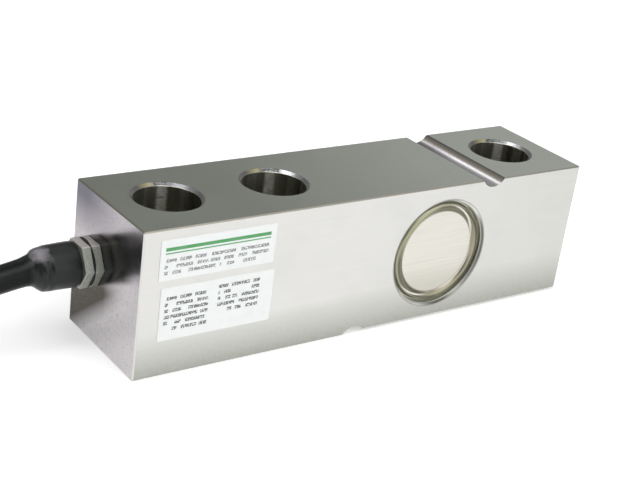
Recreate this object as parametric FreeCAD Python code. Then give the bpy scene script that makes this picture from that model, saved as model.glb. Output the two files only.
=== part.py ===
import FreeCAD
import Part
import math
import os

# Shear-beam load cell, in millimetres. A steel bar is bolted down through two holes at its cable end and
# loaded through the hole at its other end. Between them two round pockets leave a thin web, whose shear
# strain is read by foil gauges. Welded cups close the pockets, and a gland lets the cable out. The
# underside steps up beyond its groove, so that only the fixing end touches what carries it.
# +X runs from the cable end to the load end, +Y to the back, +Z up, from the middle of the underside.

V = FreeCAD.Vector

# Bar
BAR_WIDTH = 41.7
BAR_HEIGHT = 47.7
EDGE_BREAK = 0.4

# Bolt holes down through the bar
HOLE_RADIUS = 10.25
HOLE_CHAMFER = 0.95
FIXING_END_DISTANCE = 19.05
FIXING_SPACING = 38.1
LOAD_HOLE_DISTANCE = 95.25
LOAD_END_DISTANCE = 19.05

# Round-bottomed grooves, one across the top beside the load hole and one below beside the fixing holes
GROOVE_RADIUS = 5.4
TOP_GROOVE_DEPTH = 2.7
TOP_GROOVE_FROM_LOAD_HOLE = 21.1
UNDER_GROOVE_DEPTH = 2.5
UNDER_GROOVE_FROM_FIXING = 23.5
UNDER_STEP = 0.7

# Gauge pockets, the web between them and the recess that each cover is welded into
POCKET_FROM_LOAD_HOLE = 40.0
POCKET_HEIGHT = 23.6
POCKET_RADIUS = 16.9
WEB_THICKNESS = 7.0
LEDGE_WIDTH = 1.35
RECESS_DEPTH = 3.2
RECESS_CHAMFER = 0.8
WEB_HOLE_RADIUS = 1.7
WEB_HOLE_OFFSET = 12.3

# Covers, pressed from sheet: flat disc, rolled bead, short wall and welded flange
COVER_SHEET = 0.6
COVER_RIM_GAP = 0.1
COVER_FLANGE_FOLD = 0.4
COVER_WALL = 0.1
COVER_BEAD_RADIUS = 1.35
COVER_DISC_DROP = 0.85
COVER_DISC_FOLD = 0.5

# Strain gauges on the web
FILM_LENGTH = 10.0
FILM_HEIGHT = 8.0
FILM_THICKNESS = 0.15
FOIL_THICKNESS = 0.1
GRID_STRANDS = 6
GRID_LENGTH = 2.6
GRID_PITCH = 0.45
GRID_STRAND_WIDTH = 0.25
GRID_TAB = 0.9
GRID_SPACING = 4.6

# Solder strips below the gauges
STRIP_LENGTH = 10.0
STRIP_HEIGHT = 2.6
STRIP_THICKNESS = 0.4
STRIP_GAP = 1.0
STRIP_PADS = 4
PAD_SIZE = 1.6
PAD_THICKNESS = 0.15

# Compensation board above the rear gauge
BOARD_LENGTH = 14.0
BOARD_HEIGHT = 5.0
BOARD_THICKNESS = 1.0
BOARD_POCKET_GAP = 1.0
BOARD_PAD_INSET = 0.7
BOARD_PAD_PITCH = 1.4
CONDUCTOR_PITCH = 2.2
CONDUCTOR_STAGGER = 1.2
CHIP_LENGTH = 3.2
CHIP_WIDTH = 1.6
CHIP_THICKNESS = 0.6
CHIP_PITCH = 4.5

# Wires inside the bar
JUMPER_RADIUS = 0.12
JUMPER_RISE = 0.9
WIRE_RADIUS = 0.2
WIRE_RISE = 1.6
WIRE_STEP = 0.6
CONDUCTOR_RADIUS = 0.5
DRAIN_RADIUS = 0.4
CONDUCTOR_RING = 1.15
WIRING_BORE_RADIUS = 2.2
WIRING_BORE_WALL = 1.05

# Gland in the cable end, with its thread, hexagons, washer, seal and nose
GLAND_OFFSET = 7.7
GLAND_HEIGHT = 26.3
GLAND_THREAD_RADIUS = 5.0
GLAND_SHANK = 4.4
GLAND_HOLE_DEPTH = 8.0
GLAND_FIT = 0.05
GLAND_FLARE = 3.9
GLAND_SQUARING = 0.15
HEX_FLATS = 13.5
HEX_THICKNESS = 2.8
WASHER_RADIUS = 7.5
WASHER_THICKNESS = 0.4
NECK_RADIUS = 4.5
NECK_LENGTH = 6.0
SEAL_LENGTH = 2.8
SEAL_CONE = 0.9
NOSE_RADIUS = 5.5
NOSE_LENGTH = 8.5
NOSE_CHAMFER = 1.0
GASKET_THICKNESS = 0.9
GASKET_WIDTH = 1.2

# Cable, and the shrunk boot over the gland's nose and the cable's first stretch
CABLE_RADIUS = 3.0
CABLE_FIT = 0.1
JACKET_END = 1.0
BOOT_RADIUS = 6.75
BOOT_SHOULDER_RADIUS = 6.4
BOOT_TAIL_RADIUS = 4.35
BOOT_START = 6.4
BOOT_SHOULDER = 15.5
BOOT_TAIL_LENGTH = 24.0

# The cable's route, chosen by hand, from the gland's seat on the end face
ROUTE_FROM_GLAND = [
    V(JACKET_END, 0, 0),
    V(-20.5, 0, 0),
    V(-58.0, 0, -6.2),
    V(-85.5, 11.9, -5.0),
]

# The rest of the cable, folded into a tied hank that lies in line with the bar
HANK_FROM_END = 139.0
HANK_HALF_SPAN = 38.0
HANK_FOLD_RADIUS = 18.0
HANK_PITCH = 6.1
HANK_COLUMNS = 2
HANK_LAYERS = 5
HANK_EDGE = 2.0
TIE_WIDTH = 4.6
TIE_THICKNESS = 1.3
TIE_CORNER = 3.0
TIE_HEAD = V(6.0, 7.0, 4.2)

# Bare end of the cable: a shrunk sleeve and the flying leads
END_HEIGHT = 3.5
END_TAIL = 24.5
END_SLEEVE_RADIUS = 3.4
END_SLEEVE_LENGTH = 14.0
END_SLEEVE_OVERLAP = 8.0
LEAD_RADIUS = 0.55
LEAD_RING = 1.7
LEAD_REACH = 15.0
LEAD_SPREAD = 1.75

# Foil labels on the front face
LABEL_THICKNESS = 0.15
LABEL_CORNER = 0.6
UPPER_LABEL = {"from_end": 5.8, "below_top": 3.4, "length": 39.3, "height": 12.8}
LOWER_LABEL = {"from_end": 7.0, "below_top": 18.65, "length": 39.0, "height": 17.2}

# Places that follow from the sizes above
BAR_LENGTH = FIXING_END_DISTANCE + FIXING_SPACING + LOAD_HOLE_DISTANCE + LOAD_END_DISTANCE
CABLE_END = -BAR_LENGTH / 2
LOAD_END = BAR_LENGTH / 2
LOAD_HOLE = LOAD_END - LOAD_END_DISTANCE
INNER_FIXING = LOAD_HOLE - LOAD_HOLE_DISTANCE
OUTER_FIXING = INNER_FIXING - FIXING_SPACING
FRONT = -BAR_WIDTH / 2
POCKET = V(LOAD_HOLE - POCKET_FROM_LOAD_HOLE, 0, POCKET_HEIGHT)
UNDER_GROOVE = INNER_FIXING + UNDER_GROOVE_FROM_FIXING
RECESS_RADIUS = POCKET_RADIUS + LEDGE_WIDTH
WIRING_BORE_Y = HOLE_RADIUS + WIRING_BORE_WALL + WIRING_BORE_RADIUS
GLAND = V(CABLE_END, GLAND_OFFSET, GLAND_HEIGHT)
GLAND_BORE = CABLE_RADIUS + CABLE_FIT
COUNTERBORE_RADIUS = GLAND_THREAD_RADIUS + GLAND_FIT * 2 + GASKET_WIDTH
OUTWARD = V(-1, 0, 0)
STRIP_LEVEL = -(FILM_HEIGHT / 2 + STRIP_GAP + STRIP_HEIGHT / 2)
STRIP_TOP = STRIP_THICKNESS + PAD_THICKNESS
BOARD_TOP_EDGE = math.sqrt((POCKET_RADIUS - BOARD_POCKET_GAP) ** 2 - (BOARD_LENGTH / 2) ** 2)
BOARD_LEVEL = BOARD_TOP_EDGE - BOARD_HEIGHT / 2
HANK = V(CABLE_END - HANK_FROM_END, 0, 0)
HANK_OUTER_FOLD = HANK_FOLD_RADIUS + (HANK_COLUMNS - 1) * HANK_PITCH
HANK_LOBE = HANK_OUTER_FOLD + HANK_PITCH / 2
HANK_WAIST = HANK_COLUMNS * HANK_PITCH
HANK_HEIGHT = HANK_LAYERS * HANK_PITCH
CABLE_END_AXIS = HANK + V(-HANK_HALF_SPAN, -HANK_OUTER_FOLD, END_HEIGHT)


def turned(outline, base, axis):
    """A solid of revolution from (radius, height) points, stood on base along axis."""
    points = [V(radius, 0, height) for radius, height in outline]
    face = Part.Face(Part.makePolygon(points + points[:1]))
    return stood(face.revolve(V(), V(0, 0, 1), 360), base, axis)


def stood(shape, base, axis):
    """The shape with its own +Z turned along axis and its origin moved to base."""
    shape.Placement = FreeCAD.Placement(base, FreeCAD.Rotation(V(0, 0, 1), axis))
    return shape


def arc(start, middle, end):
    return Part.Arc(start, middle, end).toShape()


def line(start, end):
    return Part.makeLine(start, end)


def rounded_path(points):
    """Straight runs joined by tangent arcs, each as large as its two runs allow, and the arcs' radii."""
    edges = []
    radii = []
    start = points[0]
    for before, corner, after in zip(points, points[1:], points[2:]):
        run_in = corner - before
        run_out = after - corner
        cut = 0.45 * min(run_in.Length, run_out.Length)
        half_turn = run_in.getAngle(run_out) / 2
        radius = cut / math.tan(half_turn)
        ahead = V(run_in).normalize()
        beyond = V(run_out).normalize()
        inward = (beyond - ahead).normalize()
        enter = corner - ahead * cut
        leave = corner + beyond * cut
        middle = corner + inward * (radius / math.cos(half_turn) - radius)
        edges += [line(start, enter), arc(enter, middle, leave)]
        radii.append(radius)
        start = leave
    edges.append(line(start, points[-1]))
    return Part.Wire(edges), radii


def tube(path, radius):
    """A round solid of one radius along a path."""
    first = path.Edges[0]
    start = first.valueAt(first.FirstParameter)
    profile = Part.makeCircle(radius, start, first.tangentAt(first.FirstParameter))
    return path.makePipeShell([Part.Wire(profile)], True, False)


def wire(points, radius):
    """A bent wire through the points, mitred where it turns."""
    ahead = points[1] - points[0]
    profile = Part.makeCircle(radius, points[0], ahead)
    return Part.makePolygon(points).makePipeShell([Part.Wire(profile)], True, False, 1)


def block(size, centre):
    """A box about the middle of its underside."""
    return Part.makeBox(size.x, size.y, size.z, centre - V(size.x / 2, size.y / 2, 0))


def rounded_plate(length, height, thickness, corner):
    """A plate about its middle in XZ, from y = 0 towards -Y."""
    plate = Part.makeBox(length, thickness, height, V(-length / 2, -thickness, -height / 2))
    upright = [edge for edge in plate.Edges if abs(edge.tangentAt(edge.FirstParameter).y) > 0.9]
    return plate.makeFillet(corner, upright)


# Bar


def bolt_hole(x, foot):
    """A through hole from the height of its foot to the top, with both rims chamfered."""
    rim = HOLE_RADIUS + HOLE_CHAMFER
    outline = [(0, foot), (rim, foot), (HOLE_RADIUS, foot + HOLE_CHAMFER)]
    outline += [(HOLE_RADIUS, BAR_HEIGHT - HOLE_CHAMFER), (rim, BAR_HEIGHT), (0, BAR_HEIGHT)]
    return turned(outline, V(x, 0, 0), V(0, 0, 1))


def cross_groove(x, height):
    """The cutter of a groove: a cylinder across the bar, by the place and height of its middle."""
    return Part.makeCylinder(GROOVE_RADIUS, BAR_WIDTH, V(x, FRONT, height), V(0, 1, 0))


def gauge_pocket(side):
    """The pocket from the web to one face, with the wider recess for the cover and its chamfered mouth."""
    depth = (BAR_WIDTH - WEB_THICKNESS) / 2
    ledge = depth - RECESS_DEPTH
    outline = [(0, 0), (POCKET_RADIUS, 0), (POCKET_RADIUS, ledge), (RECESS_RADIUS, ledge)]
    outline += [(RECESS_RADIUS, depth - RECESS_CHAMFER), (RECESS_RADIUS + RECESS_CHAMFER, depth), (0, depth)]
    return turned(outline, POCKET + V(0, side * WEB_THICKNESS / 2, 0), V(0, side, 0))


def gland_hole():
    """The threaded hole in the end face, with the shallow seat of its gasket."""
    thread = GLAND_THREAD_RADIUS + GLAND_FIT
    outline = [(0, -GLAND_HOLE_DEPTH), (thread, -GLAND_HOLE_DEPTH), (thread, -GASKET_THICKNESS)]
    outline += [(COUNTERBORE_RADIUS, -GASKET_THICKNESS), (COUNTERBORE_RADIUS, 0), (0, 0)]
    return turned(outline, GLAND, OUTWARD)


def blank_bar():
    """The bar before its holes: stepped below, with its outer edges broken."""
    outline = [
        V(CABLE_END, FRONT, 0),
        V(UNDER_GROOVE, FRONT, 0),
        V(UNDER_GROOVE, FRONT, UNDER_STEP),
        V(LOAD_END, FRONT, UNDER_STEP),
        V(LOAD_END, FRONT, BAR_HEIGHT),
        V(CABLE_END, FRONT, BAR_HEIGHT),
    ]
    bar = Part.Face(Part.makePolygon(outline + outline[:1])).extrude(V(0, BAR_WIDTH, 0))
    outer = [edge for edge in bar.Edges if abs(edge.CenterOfMass.x - UNDER_GROOVE) > EDGE_BREAK]
    return bar.makeChamfer(EDGE_BREAK, outer)


def beam():
    wiring_start = V(CABLE_END + GLAND_SHANK, WIRING_BORE_Y, GLAND_HEIGHT)
    web_hole = POCKET + V(-WEB_HOLE_OFFSET, -WEB_THICKNESS / 2, 0)
    cutters = [
        bolt_hole(OUTER_FIXING, 0),
        bolt_hole(INNER_FIXING, 0),
        bolt_hole(LOAD_HOLE, UNDER_STEP),
        cross_groove(LOAD_HOLE - TOP_GROOVE_FROM_LOAD_HOLE, BAR_HEIGHT - TOP_GROOVE_DEPTH + GROOVE_RADIUS),
        cross_groove(UNDER_GROOVE, UNDER_GROOVE_DEPTH - GROOVE_RADIUS),
        gauge_pocket(-1),
        gauge_pocket(1),
        gland_hole(),
        Part.makeCylinder(WIRING_BORE_RADIUS, POCKET.x - wiring_start.x, wiring_start, V(1, 0, 0)),
        Part.makeCylinder(WEB_HOLE_RADIUS, WEB_THICKNESS, web_hole, V(0, 1, 0)),
    ]
    return blank_bar().cut(cutters)


# Covers


def cover(side):
    """A cup of even sheet: its flange lies on the ledge, its wall rolls over a bead to the sunk disc."""
    sheet = COVER_SHEET
    wall = POCKET_RADIUS + sheet
    rim = RECESS_RADIUS - COVER_RIM_GAP
    flange_turn = V(wall + COVER_FLANGE_FOLD, 0, sheet + COVER_FLANGE_FOLD)
    bead = V(wall - COVER_BEAD_RADIUS, 0, flange_turn.z + COVER_WALL)
    disc = bead.z + COVER_BEAD_RADIUS - COVER_DISC_DROP
    rise = disc + COVER_DISC_FOLD - bead.z
    reach = math.sqrt((COVER_BEAD_RADIUS + COVER_DISC_FOLD) ** 2 - rise**2)
    disc_turn = V(bead.x - reach, 0, disc + COVER_DISC_FOLD)
    lean = (disc_turn - bead).normalize()
    slant = V(math.sqrt(0.5), 0, -math.sqrt(0.5))
    low = (lean * -1 + V(0, 0, -1)).normalize()

    def skin(inset):
        """The sheet's outer face from axis to flange, or its inner face where inset is the sheet."""
        bead_radius = COVER_BEAD_RADIUS - inset
        disc_radius = COVER_DISC_FOLD + inset
        fold_radius = COVER_FLANGE_FOLD + inset
        corners = [
            V(0, 0, disc - inset),
            V(disc_turn.x, 0, disc - inset),
            bead + lean * bead_radius,
            bead + V(bead_radius, 0, 0),
            V(wall - inset, 0, flange_turn.z),
            V(flange_turn.x, 0, sheet - inset),
            V(rim, 0, sheet - inset),
        ]
        edges = [
            line(corners[0], corners[1]),
            arc(corners[1], disc_turn + low * disc_radius, corners[2]),
            arc(corners[2], bead + V(0, 0, bead_radius), corners[3]),
            line(corners[3], corners[4]),
            arc(corners[4], flange_turn + V(-slant.x, 0, slant.z) * fold_radius, corners[5]),
            line(corners[5], corners[6]),
        ]
        return edges, corners[0], corners[6]

    outer, outer_axis, outer_rim = skin(0)
    inner, inner_axis, inner_rim = skin(sheet)
    section = outer + [line(outer_rim, inner_rim)] + inner + [line(inner_axis, outer_axis)]
    face = Part.Face(Part.Wire(Part.sortEdges(section)[0]))
    ledge = POCKET + V(0, side * (BAR_WIDTH / 2 - RECESS_DEPTH), 0)
    return stood(face.revolve(V(), V(0, 0, 1), 360), ledge, V(0, side, 0))


# Gauges and circuit on the web


def on_web(side, along, up, out):
    """A point by its place about the pocket's axis and its height above one face of the web."""
    return POCKET + V(along, side * (WEB_THICKNESS / 2 + out), up)


def plate_on_web(side, along, up, length, height, thickness, out=0.0):
    """A flat rectangle that lies on the web, or out from it."""
    near = on_web(side, along, up, out)
    far = on_web(side, along, up, out + thickness)
    corner = V(near.x - length / 2, min(near.y, far.y), near.z - height / 2)
    return Part.makeBox(length, thickness, height, corner)


def grid_path():
    """The zigzag that the foil's current follows, strand by strand."""
    points = []
    for strand in range(GRID_STRANDS):
        across = (strand - (GRID_STRANDS - 1) / 2) * GRID_PITCH
        ends = [V(across, 0, -GRID_LENGTH / 2), V(across, 0, GRID_LENGTH / 2)]
        points += ends if strand % 2 == 0 else ends[::-1]
    return points


def grid_tabs():
    """The middles of a grid's two solder tabs, below its first and last strands."""
    across = (GRID_STRANDS - 1) / 2 * GRID_PITCH - GRID_STRAND_WIDTH / 2 + GRID_TAB / 2
    return [V(sign * across, 0, -(GRID_LENGTH + GRID_TAB) / 2) for sign in (-1, 1)]


def ribbon(points, width):
    """A flat face of one width along a square-cornered path in XZ."""
    sides = []
    normals = [V(0, 1, 0).cross(after - before).normalize() for before, after in zip(points, points[1:])]
    for hand in (1, -1):
        side = []
        for i, point in enumerate(points):
            before = normals[max(i - 1, 0)]
            after = normals[min(i, len(normals) - 1)]
            offset = before + after if i in range(1, len(points) - 1) else before
            side.append(point + offset * (hand * width / 2))
        sides.append(side)
    outline = sides[0] + sides[1][::-1]
    return Part.Face(Part.makePolygon(outline + outline[:1]))


def grid_place(side, hand):
    """Where a grid lies: left or right of the middle, turned to the web's shear at 45 degrees."""
    middle = on_web(side, hand * GRID_SPACING / 2, 0, FILM_THICKNESS)
    return FreeCAD.Placement(middle, FreeCAD.Rotation(V(0, 1, 0), -45 * hand))


def foil_grid(side, hand):
    """One etched grid with its tabs."""
    foil = V(0, side * FOIL_THICKNESS, 0)
    grid = ribbon(grid_path(), GRID_STRAND_WIDTH).extrude(foil)
    for tab in grid_tabs():
        corner = tab - V(GRID_TAB / 2, 0, GRID_TAB / 2)
        plate = Part.makePlane(GRID_TAB, GRID_TAB, corner, V(0, -1, 0), V(1, 0, 0))
        grid = grid.fuse(plate.extrude(foil))
    grid = grid.removeSplitter()
    grid.Placement = grid_place(side, hand)
    return grid


def strip_pad_place(pad):
    return (pad - (STRIP_PADS - 1) / 2) * STRIP_LENGTH / STRIP_PADS


def terminal_strip(side):
    """The solder strip below a gauge, with its raised pads."""
    strip = plate_on_web(side, 0, STRIP_LEVEL, STRIP_LENGTH, STRIP_HEIGHT, STRIP_THICKNESS)
    places = [strip_pad_place(pad) for pad in range(STRIP_PADS)]
    size = (PAD_SIZE, PAD_SIZE, PAD_THICKNESS)
    pads = [plate_on_web(side, place, STRIP_LEVEL, *size, STRIP_THICKNESS) for place in places]
    return strip.fuse(pads)


def jumpers(side):
    """Fine wires from the grids' tabs to the strip's pads."""
    made = []
    for hand, first_pad in ((-1, 0), (1, STRIP_PADS // 2)):
        place = grid_place(side, hand)
        feet = sorted((place.multVec(tab) for tab in grid_tabs()), key=lambda foot: foot.x)
        for i, foot in enumerate(feet):
            tab = foot - POCKET
            pad = strip_pad_place(first_pad + i)
            points = [
                on_web(side, tab.x, tab.z, FILM_THICKNESS + FOIL_THICKNESS),
                on_web(side, tab.x, tab.z, JUMPER_RISE),
                on_web(side, pad, STRIP_LEVEL + PAD_SIZE / 4, JUMPER_RISE),
                on_web(side, pad, STRIP_LEVEL + PAD_SIZE / 4, STRIP_TOP),
            ]
            made.append(wire(points, JUMPER_RADIUS))
    return Part.makeCompound(made)


def compensation_board():
    return plate_on_web(1, 0, BOARD_LEVEL, BOARD_LENGTH, BOARD_HEIGHT, BOARD_THICKNESS)


def gauge_film(side):
    return plate_on_web(side, 0, 0, FILM_LENGTH, FILM_HEIGHT, FILM_THICKNESS)


def chip(place):
    """One trim resistor on the board."""
    size = (CHIP_LENGTH, CHIP_WIDTH, CHIP_THICKNESS)
    return plate_on_web(1, place * CHIP_PITCH, BOARD_LEVEL, *size, BOARD_THICKNESS)


def board_pad(along, row):
    """A solder point near the board's lower (-1) or upper (1) edge."""
    return on_web(1, along, BOARD_LEVEL + row * (BOARD_HEIGHT / 2 - BOARD_PAD_INSET), BOARD_THICKNESS)


def web_wire(pad):
    """From the front strip through the hole in the web to the board's lower edge."""
    foot = (strip_pad_place(pad), STRIP_LEVEL - PAD_SIZE / 4)
    rise = WIRE_RISE + pad * WIRE_STEP
    row = (pad - (STRIP_PADS - 1) / 2) * WIRE_STEP
    hole = (-WEB_HOLE_OFFSET - 0.8 * row, 0.6 * row)
    end = board_pad(-(pad + 1) * BOARD_PAD_PITCH, -1)
    points = [
        on_web(-1, *foot, STRIP_TOP),
        on_web(-1, *foot, rise),
        on_web(-1, *hole, rise),
        on_web(1, *hole, rise + BOARD_THICKNESS),
        end + V(0, rise, 0),
        end,
    ]
    return wire(points, WIRE_RADIUS)


def bridge_wire(pad):
    """From the rear strip round the gauge to the board's lower edge."""
    foot = (strip_pad_place(pad), STRIP_LEVEL - PAD_SIZE / 4)
    rise = WIRE_RISE + (STRIP_PADS - 1 - pad) * WIRE_STEP
    beside = FILM_LENGTH / 2 + (STRIP_PADS - pad) * 2 * WIRE_STEP
    end = board_pad((STRIP_PADS - pad) * BOARD_PAD_PITCH, -1)
    points = [
        on_web(1, *foot, STRIP_TOP),
        on_web(1, *foot, rise),
        on_web(1, beside, STRIP_LEVEL / 2, rise),
        on_web(1, beside, FILM_HEIGHT / 2, rise),
        end + V(0, rise, 0),
        end,
    ]
    return wire(points, WIRE_RADIUS)


def conductor(place, spread, radius):
    """One of the cable's inner wires: from the jacket's end through the wiring bore to the board."""
    side_step = V(0, WIRING_BORE_Y - GLAND_OFFSET, 0)
    offset = V(0, spread[0], spread[1]) * (CONDUCTOR_RING / math.sqrt(2))
    start = GLAND + offset
    in_bore = start + side_step
    bore_mouth = POCKET.x - POCKET_RADIUS / 2 + place * CONDUCTOR_STAGGER
    end = board_pad(place * CONDUCTOR_PITCH, 1)
    points = [
        start + V(JACKET_END, 0, 0),
        start + V(GLAND_SHANK / 2, 0, 0),
        in_bore + V(GLAND_HOLE_DEPTH, 0, 0),
        V(bore_mouth, in_bore.y, in_bore.z),
        end + V(0, CONDUCTOR_RING * 3, 0),
        end,
    ]
    return wire(points, radius)


# Gland


def hexagon(start):
    """A hexagon ring's blank, corners to front and back, its edges slightly broken."""
    corner = HEX_FLATS / math.sqrt(3)
    points = [
        V(corner * math.sin(math.radians(turn)), corner * math.cos(math.radians(turn)), start)
        for turn in range(0, 361, 60)
    ]
    blank = Part.Face(Part.makePolygon(points)).extrude(V(0, 0, HEX_THICKNESS))
    return blank.makeChamfer(GLAND_SQUARING, blank.Edges)


def hexed(outline, start, bore):
    """A turned part with a hexagon round it."""
    ring = hexagon(start).cut(Part.makeCylinder(bore, HEX_THICKNESS, V(0, 0, start)))
    body = ring.fuse(turned(outline, V(), V(0, 0, 1))).removeSplitter()
    return stood(body, GLAND, OUTWARD)


def gland_body():
    neck_end = HEX_THICKNESS + NECK_LENGTH
    outline = [
        (GLAND_BORE, 0),
        (GLAND_FLARE, -GLAND_SHANK),
        (GLAND_THREAD_RADIUS, -GLAND_SHANK),
        (GLAND_THREAD_RADIUS, HEX_THICKNESS / 2),
        (NECK_RADIUS, HEX_THICKNESS / 2),
        (NECK_RADIUS, neck_end),
        (GLAND_BORE + SEAL_CONE, neck_end),
        (GLAND_BORE, neck_end - SEAL_CONE),
    ]
    return hexed(outline, 0, GLAND_BORE)


def gland_washer():
    inner = NECK_RADIUS + GLAND_FIT
    top = HEX_THICKNESS + WASHER_THICKNESS
    outline = [(inner, HEX_THICKNESS), (WASHER_RADIUS, HEX_THICKNESS), (WASHER_RADIUS, top), (inner, top)]
    return turned(outline, GLAND, OUTWARD)


def gland_nut():
    inner = NECK_RADIUS + GLAND_FIT
    start = HEX_THICKNESS + WASHER_THICKNESS
    seal_end = HEX_THICKNESS + NECK_LENGTH + SEAL_LENGTH
    nose_end = start + HEX_THICKNESS + NOSE_LENGTH
    outline = [
        (inner, start),
        (NOSE_RADIUS, start),
        (NOSE_RADIUS, nose_end - NOSE_CHAMFER),
        (NOSE_RADIUS - NOSE_CHAMFER, nose_end),
        (GLAND_BORE, nose_end),
        (GLAND_BORE, seal_end),
        (inner, seal_end),
    ]
    return hexed(outline, start, inner)


def gland_seal():
    neck_end = HEX_THICKNESS + NECK_LENGTH
    inner = CABLE_RADIUS + GLAND_FIT
    outline = [
        (inner, neck_end - SEAL_CONE),
        (GLAND_BORE, neck_end - SEAL_CONE),
        (GLAND_BORE + SEAL_CONE, neck_end),
        (NECK_RADIUS, neck_end),
        (NECK_RADIUS, neck_end + SEAL_LENGTH),
        (inner, neck_end + SEAL_LENGTH),
    ]
    return turned(outline, GLAND, OUTWARD)


def gland_gasket():
    """The flat ring squeezed between the hexagon and its seat in the end face."""
    inner = GLAND_THREAD_RADIUS + GLAND_FIT
    outer = inner + GASKET_WIDTH
    outline = [(inner, -GASKET_THICKNESS), (outer, -GASKET_THICKNESS), (outer, 0), (inner, 0)]
    return turned(outline, GLAND, OUTWARD)


# Cable


def cable_boot(route):
    """The shrunk sleeve: a slight cone over the nose, a sagging shoulder, then tight on the cable."""
    nose_end = HEX_THICKNESS * 2 + WASHER_THICKNESS + NOSE_LENGTH
    tail_way = (route[2] - route[1]).normalize()
    path, _ = rounded_path([route[0], route[1], route[1] + tail_way * BOOT_TAIL_LENGTH])
    _, bend, last = path.Edges
    drawn_in = bend.FirstParameter + 0.6 * (bend.LastParameter - bend.FirstParameter)
    shoulder = GLAND + OUTWARD * BOOT_SHOULDER
    neck = bend.valueAt(drawn_in)
    step = neck - shoulder
    rings = [
        Part.makeCircle(BOOT_SHOULDER_RADIUS, shoulder, OUTWARD),
        Part.makeCircle(BOOT_SHOULDER_RADIUS * 0.97, shoulder + step * 0.22 + V(0, 0, -0.1), OUTWARD),
        Part.makeCircle(BOOT_SHOULDER_RADIUS * 0.83, shoulder + step * 0.66 + V(0, 0, -0.4), OUTWARD),
        Part.makeCircle(BOOT_TAIL_RADIUS, neck, bend.tangentAt(drawn_in)),
    ]
    lip = GLAND + OUTWARD * BOOT_START
    body = Part.makeCone(BOOT_RADIUS, BOOT_SHOULDER_RADIUS, BOOT_SHOULDER - BOOT_START, lip, OUTWARD)
    drawn = Part.makeLoft([Part.Wire(ring) for ring in rings], True, True)
    tail = tube(Part.Wire([bend.Curve.toShape(drawn_in, bend.LastParameter), last]), BOOT_TAIL_RADIUS)
    nose = Part.makeCylinder(NOSE_RADIUS + GLAND_FIT, nose_end + GLAND_FIT, GLAND, OUTWARD)
    return body.fuse([drawn, tail]).cut([nose, tube(path, GLAND_BORE)])


def hank_outline():
    """Two round ends and the waist that the tie draws in, as tangent arcs."""
    hollow = (HANK_HALF_SPAN**2 + HANK_WAIST**2 - HANK_LOBE**2) / (2 * (HANK_LOBE - HANK_WAIST))
    touch = V(-HANK_HALF_SPAN, HANK_WAIST + hollow, 0).normalize() * HANK_LOBE + V(HANK_HALF_SPAN, 0, 0)
    far = HANK_HALF_SPAN + HANK_LOBE
    corners = [V(touch.x, -touch.y, 0), touch, V(-touch.x, touch.y, 0), touch * -1]
    middles = [V(far, 0, 0), V(0, HANK_WAIST, 0), V(-far, 0, 0), V(0, -HANK_WAIST, 0)]
    return Part.Wire([arc(corners[i], middles[i], corners[(i + 1) % 4]) for i in range(4)])


def tie_loop():
    """The strap round the waist, as high outside as the bundle's ends."""
    outside = rounded_plate((HANK_WAIST + TIE_THICKNESS) * 2, HANK_HEIGHT, TIE_WIDTH, TIE_CORNER)
    inner_height = HANK_HEIGHT - TIE_THICKNESS * 2
    loop = outside.cut(rounded_plate(HANK_WAIST * 2, inner_height, TIE_WIDTH, TIE_CORNER - TIE_THICKNESS))
    turn = FreeCAD.Rotation(V(0, 0, 1), 90)
    loop.Placement = FreeCAD.Placement(HANK + V(-TIE_WIDTH / 2, 0, HANK_HEIGHT / 2), turn)
    return loop


def hank_tie():
    """The strap with its head on top."""
    head = block(TIE_HEAD, HANK + V(0, 0, HANK_HEIGHT))
    return tie_loop().fuse(head.makeChamfer(TIE_THICKNESS / 2, head.Edges)).removeSplitter()


def cable_hank():
    """The bundle of folded turns, with the open eye of each loop and the groove that the tie makes."""
    bundle = Part.Face(hank_outline()).extrude(V(0, 0, HANK_HEIGHT))
    level = [edge for edge in bundle.Edges if abs(edge.tangentAt(edge.FirstParameter).z) < 0.1]
    bundle = bundle.makeChamfer(HANK_EDGE, level)
    eye = HANK_FOLD_RADIUS - HANK_PITCH / 2
    eyes = [Part.makeCylinder(eye, HANK_HEIGHT, V(sign * HANK_HALF_SPAN, 0, 0)) for sign in (-1, 1)]
    bundle = bundle.cut(eyes)
    bundle.translate(HANK)
    return bundle.cut(tie_loop())


def cable_lead(route, hank):
    """The cable from the gland to where it joins the hank."""
    path, radii = rounded_path(route)
    lead = tube(path, CABLE_RADIUS)
    section = math.pi * CABLE_RADIUS**2
    print("cable lead: bend radii", [round(radius, 1) for radius in radii])
    print("cable lead: volume over section times length", round(lead.Volume / (section * path.Length), 4))
    return lead.cut(hank)


def cable_tail(hank):
    """The cable's last stretch, from the hank into its end sleeve."""
    length = END_TAIL + END_SLEEVE_OVERLAP
    return Part.makeCylinder(CABLE_RADIUS, length, CABLE_END_AXIS, V(1, 0, 0)).cut(hank)


def end_sleeve():
    """A shrunk sleeve over the cable's end, closed round the leads."""
    socket = CABLE_RADIUS + CABLE_FIT
    outline = [(0, END_SLEEVE_OVERLAP), (socket, END_SLEEVE_OVERLAP), (socket, 0)]
    outline += [(END_SLEEVE_RADIUS, 0), (END_SLEEVE_RADIUS, END_SLEEVE_LENGTH), (0, END_SLEEVE_LENGTH)]
    return turned(outline, CABLE_END_AXIS + V(END_TAIL, 0, 0), V(1, 0, 0))


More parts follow.
